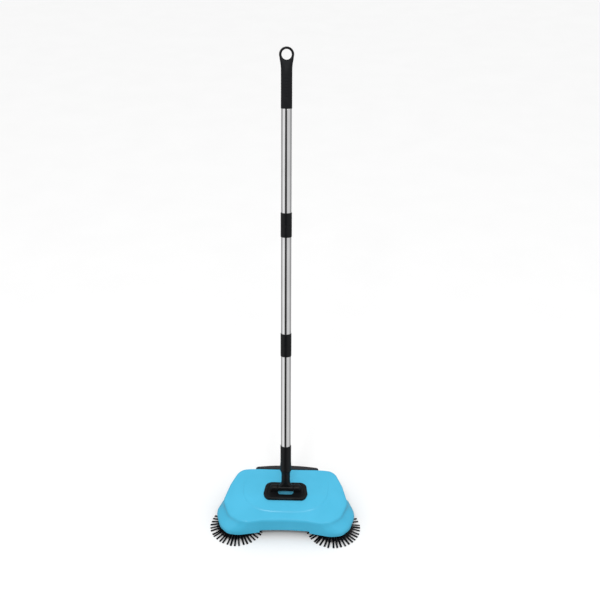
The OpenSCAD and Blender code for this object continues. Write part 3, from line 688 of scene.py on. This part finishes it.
# Sections as (along, half across, half deep, power): from the hinge pin, and below the ring's middle
NECK_SECTIONS = [
    (1, 17.3, 6.2, 4.5), (4, 17.2, 6.2, 4.2), (6.5, 16.0, 6.4, 3.7), (9, 13.8, 6.8, 3.1),
    (11.5, 11.8, 7.2, 2.6), (14, 10.6, 7.6, 2.3), (18, 10.1, 8.5, 2.1), (23, 10.0, 9.7, 2.0),
    (27, 10.0, 10.0, 2.0), (34, 10.0, 10.0, 2.0), (36.5, 10.1, 10.1, 2.0), (39, 10.5, 10.5, 2.0),
    (41.5, 11.2, 11.2, 2.0), (43.5, 11.8, 11.8, 2.0), (46, 11.8, 11.8, 2.0)]
GRIP_SECTIONS = [
    (36, 11.7, 11.7, 2.0), (31, 11.72, 11.3, 2.05), (26, 11.85, 10.3, 2.15), (22, 12.15, 9.0, 2.3),
    (18, 12.6, 7.7, 2.6), (14, 13.25, 6.3, 3.0), (10.5, 13.9, 5.2, 3.6), (7.5, 14.3, 4.6, 4.2),
    (5, 14.5, 4.3, 4.6)]


def rounded_profile(corners):
    """The (radius, along) points of a profile given as (radius, along, rounding) corners."""
    return [(p.x, p.y) for p in fillet(corners, closed=False, steps=5)]


def superellipse(half_x, half_y, power, along, count=96):
    """A ring round the handle's axis, more square the higher its power is."""
    return [
        on_handle(half_x * swell(math.cos(a), power), half_y * swell(math.sin(a), power), along)
        for a in (TURN * k / count for k in range(count))]


def neck():
    """The turned barrel on the hinge pin, and the neck that narrows from it to the socket."""
    shape = Shape()
    shape.revolve(
        rounded_profile([
            (BARREL_BORE, -BARREL_HALF, 0), (BARREL_RADIUS, -BARREL_HALF, 0.9),
            (BARREL_RADIUS, BARREL_HALF, 0.9), (BARREL_BORE, BARREL_HALF, 0)]),
        lambda a, b, s: on_handle(s, a, b), around=True)
    shape.loft([superellipse(half_x, half_y, power, along, 64)
                for along, half_x, half_y, power in NECK_SECTIONS], first_cap=True, last_cap=True)
    dress(shape.make("swivel_neck"), BLACK, "black_plastic", "handle", "handle_neck")


def socket():
    """The socket that takes the lowest tube, with its flared collar and its screw's recess."""
    start, end = stations("socket")
    shape = Shape()
    shape.revolve(
        rounded_profile([
            (0.1, start, 0), (SOCKET_RADIUS, start, 0.5), (COLLAR_RADIUS, start + 1.8, 1.2),
            (COLLAR_RADIUS, start + 5, 8), (SOCKET_RADIUS, start + 23, 30), (SOCKET_RADIUS, end, 0.8),
            (0.1, end, 0)]),
        on_handle)
    piece = shape.make("tube_socket")
    hole = Shape()
    screw_along = (middle("neck_screw") - HINGE).dot(UP_HANDLE) / MM
    radius, floor = SCREW_RECESS
    hole.revolve([(radius, floor), (radius, 15)], lambda a, b, s: on_handle(a, s, screw_along + b), steps=40)
    cut(piece, hole.make("hole"))
    dress(piece, BLACK, "black_plastic", "handle", "socket")


def tube(node, name):
    """One of the handle's steel tubes, hollow and with its edges just broken."""
    start, end = stations(node)
    shape = Shape()
    shape.revolve(
        rounded_profile([
            (TUBE_INNER, start, 0), (TUBE_RADIUS, start, 0.15), (TUBE_RADIUS, end, 0.15),
            (TUBE_INNER, end, 0)]),
        on_handle, steps=128, around=True)
    dress(shape.make(name), TUBE_STEEL, "tube", "handle", node)


def coupling(which):
    """Both halves of a screw coupling, which meet at a fine groove."""
    nut_node, stud_node = f"coupling_{which}_nut", f"coupling_{which}_stud"
    nut_low, nut_high = stations(nut_node)
    stud_low, stud_high = stations(stud_node)
    tube_below, tube_above = COUPLED_TUBES[which]

    def half(plug_end, tube_end, meeting, bore):
        """A half: its plug, up to plug_end in a tube, and its sleeve, from tube_end to the meeting."""
        soft = math.copysign(1.6, meeting - tube_end)
        shape = Shape()
        shape.revolve(
            rounded_profile([
                (6.5, plug_end, 0), (PLUG_RADIUS, plug_end, 0.6), (PLUG_RADIUS, tube_end, 0),
                (SLEEVE_RADIUS - 0.1, tube_end, 0.5), (SLEEVE_RADIUS, tube_end + soft, 1.0),
                (SLEEVE_RADIUS, meeting, 0.35), (bore, meeting, 0)]),
            on_handle, around=True)
        return shape

    nut = half(nut_low, stations(tube_below)[1], nut_high - 0.05, 6.6)
    dress(nut.make(f"{which}_coupling_nut"), BLACK, "black_plastic", "handle", nut_node)
    stud = half(stud_high, stations(tube_above)[0], nut_high + 0.1, 6.4)
    thread = [(THREAD_ROOT, nut_high + 1.5)]
    for k in range(int((nut_high - stud_low) / THREAD_PITCH), 0, -1):
        thread += [(THREAD_ROOT, stud_low + k * THREAD_PITCH),
                   (THREAD_CREST, stud_low + (k - 0.5) * THREAD_PITCH)]
    thread += [(THREAD_ROOT, stud_low + 0.6), (THREAD_ROOT - 0.8, stud_low)]
    stud.revolve(thread, on_handle, steps=64)
    dress(stud.make(f"{which}_coupling_stud"), BLACK, "black_plastic", "handle", stud_node)


def grip():
    """The grip: a round body with shallow grooves that flattens into the hanging ring."""
    low, high = stations("grip")
    start = stations("tube_upper")[1]
    ring = high - RING_OUTER
    rings = [superellipse(r, r, 2, s) for r, s in (
        (PLUG_RADIUS - 0.6, low), (PLUG_RADIUS, low + 0.6), (PLUG_RADIUS, start), (GRIP_RADIUS - 0.5, start),
        (GRIP_RADIUS - 0.12, start + 0.25), (GRIP_RADIUS, start + 0.9))]
    groove_from, groove_to = start + 14, ring - 40
    steps = int(groove_to - groove_from)
    for k in range(steps + 1):
        s = groove_from + (groove_to - groove_from) * k / steps
        groove = math.sin(math.pi * (s - groove_from) / GROOVE_PITCH) ** 8 * smooth(0, 6, s - groove_from)
        r = GRIP_RADIUS - GROOVE_DEPTH * groove * smooth(0, 6, groove_to - s)
        rings.append(superellipse(r, r, 2, s))
    rings += [superellipse(half_x, half_y, power, ring - below)
              for below, half_x, half_y, power in GRIP_SECTIONS]
    shape = Shape()
    shape.loft(rings, first_cap=True, last_cap=True)
    piece = shape.make("handle_grip")

    def in_ring(a, b, s):
        return on_handle(a, s, ring + b)

    hole = Shape()
    hole.revolve([(RING_HOLE + 0.8, -20), (RING_HOLE + 0.8, 20)], in_ring)
    cut(piece, hole.make("hole"))
    eye = Shape()
    half = RING_THICK / 2
    section = fillet([
        (RING_HOLE, -half, 1.6), (RING_OUTER, -half, 1.9), (RING_OUTER, half, 1.9), (RING_HOLE, half, 1.6)])
    eye.revolve([(p.x, p.y) for p in section], in_ring, steps=128, around=True)
    join(piece, eye.make("ring"))
    dress(piece, GRIP_BLACK, "grip", "handle", "grip")


# ---- dust box ----
BACK_Y = 71.0
BACK_PLAN = [(-75, BACK_Y, 1.2), (75, BACK_Y, 1.2), (72.5, BACK_Y + 6, 6), (0, BACK_Y + 17.5, 380),
             (-72.5, BACK_Y + 6, 6)]
BACK_MIDDLE_Y = BACK_Y + 4
BACK_REACH = (75.0, 12.0)
BACK_TOP = TOP_Z - 0.4
BACK_SOFT = 1.2
RECESS_HALF, RECESS_LOW, RECESS_HIGH = 32.0, 34.5, 56.5
RECESS_STEPS = [(5, 0.93), (6.2, 0.985), (8, 1.0), (20, 1.0)]


def tray_back():
    """The tray's rear face: an arched block with soft edges and a finger recess."""
    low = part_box("dust_box_back")[0] / MM
    outline = subdivided(fillet(BACK_PLAN), 3.0)
    reach_x, reach_y = BACK_REACH

    def ring(inset, z):
        return [
            head(p.x * (1 - inset / reach_x), p.y - (p.y - BACK_MIDDLE_Y) * inset / reach_y, z)
            for p in outline]

    rings = [ring(1.0, low.z), ring(0.3, low.z + 0.3), ring(0, low.z + 1.0)]
    rings += [ring(0, z) for z in (30.0, 45.0, 60.0)]
    for k in range(7):
        turn = math.pi / 2 * k / 6
        z = BACK_TOP - BACK_SOFT + BACK_SOFT * math.sin(turn)
        rings.append(ring(BACK_SOFT * (1 - math.cos(turn)), z))
    shape = Shape()
    shape.loft(rings, first_cap=True, last_cap=True)
    piece = shape.make("tray_back")
    recess = Shape()
    plan = fillet([(-RECESS_HALF, RECESS_LOW, 5), (RECESS_HALF, RECESS_LOW, 5),
                   (RECESS_HALF, RECESS_HIGH, 5), (-RECESS_HALF, RECESS_HIGH, 5)])
    middle_z = (RECESS_LOW + RECESS_HIGH) / 2
    recess.loft([
        [head(p.x * scale, BACK_Y + behind, middle_z + (p.y - middle_z) * scale) for p in plan]
        for behind, scale in RECESS_STEPS], first_cap=True, last_cap=True)
    cut(piece, recess.make("recess"))
    dress(piece, TRAY_BLACK, "dust_box", "dust_tray", "dust_box_back")


# ---- brushes ----
BRUSH_TUFTS = 40
TUFT_FILAMENTS = 34
FILAMENT_RADIUS = 0.42
FILAMENT_TAPER = 0.2
FILAMENT_ROOT = 12.5
ROOT_Z, TIP_Z = 9.6, 0.9
ROOT_FILAMENTS = 420
ROOT_REACH = (43.5, 48.5)

ROLLER_ROWS = 4
ROW_TUFTS = 30
ROLLER_TUFT_FILAMENTS = 14
ROLLER_FILAMENT_RADIUS = 0.3
ROLLER_CORE_RADIUS = 8.3


def filament(shape, path, radius, sides=3):
    """A thin tapering tube along a path of points in metres."""
    rings = []
    for i, point in enumerate(path):
        ahead = (path[min(i + 1, len(path) - 1)] - path[max(i - 1, 0)]).normalized()
        side = ahead.cross(Vector((0, 0, 1)))
        side = side.normalized() if side.length > 1e-6 else Vector((1, 0, 0))
        over = side.cross(ahead)
        r = radius * MM * (1 - FILAMENT_TAPER * i / (len(path) - 1))
        rings.append([
            point + (side * math.cos(TURN * k / sides) + over * math.sin(TURN * k / sides)) * r
            for k in range(sides)])
    shape.loft(rings, first_cap=True, last_cap=True)


def brush_ways(heading):
    """The level directions out from a brush's middle at a heading, and sideways from that."""
    out = Vector((math.cos(heading), math.sin(heading), 0))
    return out, Vector((-out.y, out.x, 0))


def brush_point(centre, ways, along, sideways, z):
    """A point so far along and sideways of a brush's middle, at height z, in metres."""
    out, side_way = ways
    place = centre + (out * along + side_way * sideways) * MM
    return Vector((place.x, place.y, z * MM))


def side_brush(side):
    """About forty splayed tufts of stiff filaments, and shorter ones that fill their roots."""
    node = f"{side}_brush_bristles"
    centre = middle(node)
    reach = half_size(node, 0)
    rng = random.Random(7 if side == "left" else 11)
    shape = Shape()
    for k in range(BRUSH_TUFTS):
        ways = brush_ways(TURN * (k + rng.uniform(-0.14, 0.14)) / BRUSH_TUFTS)
        width = rng.uniform(1.9, 2.35)
        lean = rng.uniform(-1.0, 1.0)
        tuft_reach = reach - rng.uniform(0.0, 1.4)
        for _ in range(TUFT_FILAMENTS):
            angle, spread = rng.uniform(0, TURN), math.sqrt(rng.random())
            u, v = math.cos(angle) * spread, math.sin(angle) * spread
            tip = tuft_reach - rng.uniform(0.0, 1.2)
            bow = rng.uniform(-0.35, 0.35)
            path = []
            for t in (0, 0.35, 0.7, 1):
                along = FILAMENT_ROOT + (tip - FILAMENT_ROOT) * t
                sideways = u * width * (0.85 + 0.15 * t) + bow * math.sin(math.pi * t) + lean * t * t
                z = ROOT_Z + (TIP_Z - ROOT_Z) * t + v * (1.1 - 0.45 * t)
                along = min(along, math.sqrt(max(1.0, (reach - 0.4) ** 2 - sideways ** 2)))
                path.append(brush_point(centre, ways, along, sideways, max(z, FILAMENT_RADIUS)))
            filament(shape, path, FILAMENT_RADIUS)
    for k in range(ROOT_FILAMENTS):
        ways = brush_ways(TURN * (k + rng.uniform(-0.4, 0.4)) / ROOT_FILAMENTS)
        tip = rng.uniform(*ROOT_REACH)
        path = []
        for t in (0, 0.5, 1):
            along = FILAMENT_ROOT + (tip - FILAMENT_ROOT) * t
            z = ROOT_Z + (TIP_Z - ROOT_Z) * (along - FILAMENT_ROOT) / (reach - FILAMENT_ROOT) + 0.5
            path.append(brush_point(centre, ways, along, 0.0, z))
        filament(shape, path, FILAMENT_RADIUS)
    dress(shape.make(f"{side}_side_bristles", 60), BRISTLE, "bristle", f"{side}_brush", node)


def roller_bristles():
    """Four helical rows of tufts on the roller's core."""
    centre = middle("roller_bristles")
    half = half_size("roller_bristles", 0)
    reach = half_size("roller_bristles", 2)
    rng = random.Random(5)
    shape = Shape()
    for row in range(ROLLER_ROWS):
        for k in range(ROW_TUFTS):
            x = -half + 2 + (2 * half - 4) * k / (ROW_TUFTS - 1)
            heading = TURN * (row / ROLLER_ROWS + 0.5 * x / (2 * half))
            for _ in range(ROLLER_TUFT_FILAMENTS):
                turn = heading + rng.uniform(-0.10, 0.10)
                splay = rng.uniform(-0.16, 0.16)
                across = rng.uniform(-1.3, 1.3)
                tip = reach - 0.3 - rng.uniform(0, 0.9)
                path = []
                for t in (0, 0.5, 1):
                    r = ROLLER_CORE_RADIUS + (tip - ROLLER_CORE_RADIUS) * t
                    a = turn + splay * t * t * 0.6
                    px = min(half - 0.3, max(-half + 0.3, x + across * (0.6 + 0.8 * t)))
                    path.append(centre + Vector((px, r * math.cos(a), r * math.sin(a))) * MM)
                filament(shape, path, ROLLER_FILAMENT_RADIUS)
    dress(shape.make("roller_tufts", 60), BRISTLE, "bristle", "roller", "roller_bristles")


# ---- tyres ----
TREAD_LUGS, LUG_STEPS = 44, 8
LUG_SHARE, LUG_SLANT = 0.72, 0.09
TREAD_DEPTH, TYRE_DEPTH, TYRE_SOFT = 0.7, 3.0, 0.9
# The grooves round a tyre lie between these distances from its middle
TREAD_GROOVE = (0.8, 2.5)


def tyre(side):
    """A rubber tyre with slanted lugs in rows that two grooves part."""
    node = f"{side}_tyre"
    centre = middle(node)
    half = half_size(node, 0)
    outer = half_size(node, 2)
    inner = outer - TYRE_DEPTH
    right_xs = [0.7, 0.9, 2.4, 2.6, half - TYRE_SOFT, half - 0.25, half]
    xs = [-x for x in reversed(right_xs)] + right_xs
    rings = []
    for i in range(TREAD_LUGS * LUG_STEPS):
        angle = TURN * i / (TREAD_LUGS * LUG_STEPS)
        ring = [(-half, inner)]
        for x in xs:
            lug = (i / LUG_STEPS + abs(x) * LUG_SLANT) % 1
            groove = lug > LUG_SHARE or TREAD_GROOVE[0] < abs(x) < TREAD_GROOVE[1]
            over_edge = max(0, (abs(x) - half + TYRE_SOFT) / TYRE_SOFT)
            edge = TYRE_SOFT * (1 - math.sqrt(max(0, 1 - over_edge ** 2)))
            ring.append((x, outer - edge - (TREAD_DEPTH if groove and abs(x) < half - 0.2 else 0)))
        ring.append((half, inner))
        rings.append([centre + Vector((x, r * math.cos(angle), r * math.sin(angle))) * MM for x, r in ring])
    shape = Shape()
    shape.loft(rings, around=True)
    dress(shape.make(f"{side}_tread", 40), TYRE_RUBBER, "tyre", body_of(node), node)


# ---- carried-over nodes ----
KEPT = {
    "black_plastic": (BLACK, ["base_plate", "left_brush_hub", "right_brush_hub"]),
    "dust_box": (TRAY_BLACK, ["dust_box"]),
    "seal": (SEAL_RUBBER, ["dust_box_seal"]),
    "steel": (ZINC, ["base_screws", "bezel_screws", "hinge_pin", "neck_screw", "left_wheel_axle",
                     "right_wheel_axle", "left_side_shaft", "right_side_shaft", "left_brush_screw",
                     "right_brush_screw", "rear_roller_pins"]),
    "gear": (NYLON, ["left_wheel_pinion", "right_wheel_pinion", "left_brush_pinion", "right_brush_pinion",
                     "left_brush_gear", "right_brush_gear", "roller_pinion"]),
    "bush": (BRONZE, ["shaft_bushes", "spindle_bushes", "roller_bushes"]),
    "wheel": (WHEEL_BLACK, ["left_wheel", "right_wheel", "roller_core", "left_rear_roller",
                            "right_rear_roller"]),
}


def kept_nodes():
    """The nodes that are shown as they are, with a material each."""
    for slot, (material, names) in KEPT.items():
        for name in names:
            paint(frame["nodes"][name], material)


# ---- stage ----
LENS, SENSOR = 54.0, 36.0
CAMERA_PLACE = Vector((0.08995, -1.61348, 1.55824))
CAMERA_DOWN = math.radians(32.228)
CAMERA_SWING = math.radians(2.066)
CAMERA_ROLL = math.radians(-0.231)

LAMP_SIZE, LAMP_AIM = 0.5, (0, 0, 0.1)
LAMPS = [("key", (-0.42, -1.8, 2.5), 9), ("fill", (0.42, -1.8, 2.5), 7)]

# What bright metal and plastic mirror: the room's brightness round the horizon, as shares of a turn
# from behind the object, and where overhead the ceiling takes over from it
ROOM = [(0.0, 0.38), (0.235, 0.42), (0.29, 0.98), (0.40, 1.0), (0.436, 0.03), (0.532, 0.03),
        (0.56, 0.74), (0.70, 0.80), (0.765, 0.44), (0.88, 0.38)]
CEILING, CEILING_FROM, CEILING_TO = 0.75, 0.55, 0.75
# What lights the object softly: from the horizon up to overhead
SOFT_LOW, SOFT_HIGH = 0.74, 1.42
BACKDROP = 0.93


def camera():
    """The photo's view of the object."""
    data = bpy.data.cameras.new("camera")
    data.lens = LENS
    data.sensor_width = SENSOR
    ahead = Vector((-math.sin(CAMERA_SWING) * math.cos(CAMERA_DOWN),
                    math.cos(CAMERA_SWING) * math.cos(CAMERA_DOWN), -math.sin(CAMERA_DOWN)))
    right = Vector((math.cos(CAMERA_SWING), math.sin(CAMERA_SWING), 0))
    up = right.cross(ahead)
    rolled_right = right * math.cos(CAMERA_ROLL) + up * math.sin(CAMERA_ROLL)
    rolled_up = up * math.cos(CAMERA_ROLL) - right * math.sin(CAMERA_ROLL)
    made = added("camera", data)
    made.matrix_world = Matrix.Translation(CAMERA_PLACE) @ Matrix(
        (rolled_right, rolled_up, -ahead)).transposed().to_4x4()
    bpy.context.scene.camera = made


def lamp(name, place, power):
    """A soft round lamp, turned towards the object."""
    data = bpy.data.lights.new(name, "AREA")
    data.shape = "DISK"
    data.size = LAMP_SIZE
    data.energy = power
    made = added(name, data)
    made.location = place
    made.rotation_euler = (Vector(LAMP_AIM) - Vector(place)).to_track_quat("-Z", "Y").to_euler()


def pale_floor():
    """A wide pale floor that is clear from below, so that the underside can be seen."""
    shape = Shape()
    shape.loft([[(r * math.cos(TURN * k / 64), r * math.sin(TURN * k / 64), 0) for k in range(64)]
                for r in (0.5, 30)], first_cap=True)
    floor = shape.make("floor")
    floor.data.flip_normals()
    s = Surface("floor_white", 0.9)
    s.colour(s.noise(6, 3), (0.965, 0.965, 0.965), (0.98, 0.98, 0.98))
    s.shader.inputs["Specular IOR Level"].default_value = 0.0
    s.bump((s.noise(80, 3), 0.0002))
    one_sided = s.node("MixShader")
    s.link(s.node("NewGeometry").outputs["Backfacing"], one_sided.inputs[0])
    s.link(s.shader.outputs[0], one_sided.inputs[1])
    s.link(s.node("BsdfTransparent").outputs[0], one_sided.inputs[2])
    s.link(one_sided.outputs[0], s.tree.nodes["Material Output"].inputs["Surface"])
    floor.data.materials.append(s.material)
    floor.visible_glossy = False
    floor.visible_diffuse = False


def room():
    """A soft room whose mirrored image is dark straight in front of the object."""
    world = bpy.data.worlds.new("studio")
    bpy.context.scene.world = world
    world.use_nodes = True
    tree = world.node_tree

    def node(kind, **values):
        return add_node(tree, kind, **values)

    def background(strength):
        """A background whose strength is a number, or a node's output."""
        made = node("Background")
        if isinstance(strength, float):
            made.inputs["Strength"].default_value = strength
        else:
            tree.links.new(strength, made.inputs["Strength"])
        return made

    def choose(fac, first, second):
        made = node("MixShader")
        for value, target in ((fac, 0), (first, 1), (second, 2)):
            tree.links.new(value, made.inputs[target])
        return made.outputs[0]

    parts = node("SeparateXYZ")
    tree.links.new(node("TexCoord").outputs["Generated"], parts.inputs["Vector"])
    forward = node("Math", operation="MULTIPLY")
    forward.inputs[1].default_value = -1
    tree.links.new(parts.outputs["Y"], forward.inputs[0])
    heading = node("Math", operation="ARCTAN2")
    tree.links.new(parts.outputs["X"], heading.inputs[0])
    tree.links.new(forward.outputs[0], heading.inputs[1])
    ramp = node("ValToRGB")
    elements = ramp.color_ramp.elements
    while len(elements) < len(ROOM):
        elements.new(0.5)
    for element, (position, value) in zip(elements, ROOM):
        element.position = position
        element.color = (value, value, value, 1)
    tree.links.new(map_range(tree, heading.outputs[0], -math.pi, math.pi, 0, 1), ramp.inputs["Fac"])
    mirror = choose(map_range(tree, parts.outputs["Z"], CEILING_FROM, CEILING_TO, 0, 1),
                    background(ramp.outputs["Color"]).outputs[0], background(CEILING).outputs[0])
    soft = background(map_range(tree, parts.outputs["Z"], -0.02, 1.0, SOFT_LOW, SOFT_HIGH))
    seen = node("Background")
    seen.inputs["Color"].default_value = (BACKDROP, BACKDROP, BACKDROP, 1)
    path = node("LightPath")
    unseen = choose(path.outputs["Is Glossy Ray"], soft.outputs[0], mirror)
    tree.links.new(choose(path.outputs["Is Camera Ray"], unseen, seen.outputs[0]),
                   tree.nodes["World Output"].inputs["Surface"])


def studio():
    """The floor, two soft lamps and the room."""
    pale_floor()
    for name, place, power in LAMPS:
        lamp(name, place, power)
    room()
    bpy.context.scene.view_settings.view_transform = "Standard"


camera()
cover()
bezel()
neck()
socket()
for tube_node, tube_name in (("tube_lower", "lower_tube"), ("tube_middle", "middle_tube"),
                             ("tube_upper", "upper_tube")):
    tube(tube_node, tube_name)
coupling("lower")
coupling("upper")
grip()
tray_back()
for brush_side in ("left", "right"):
    side_brush(brush_side)
    tyre(brush_side)
roller_bristles()
kept_nodes()
studio()
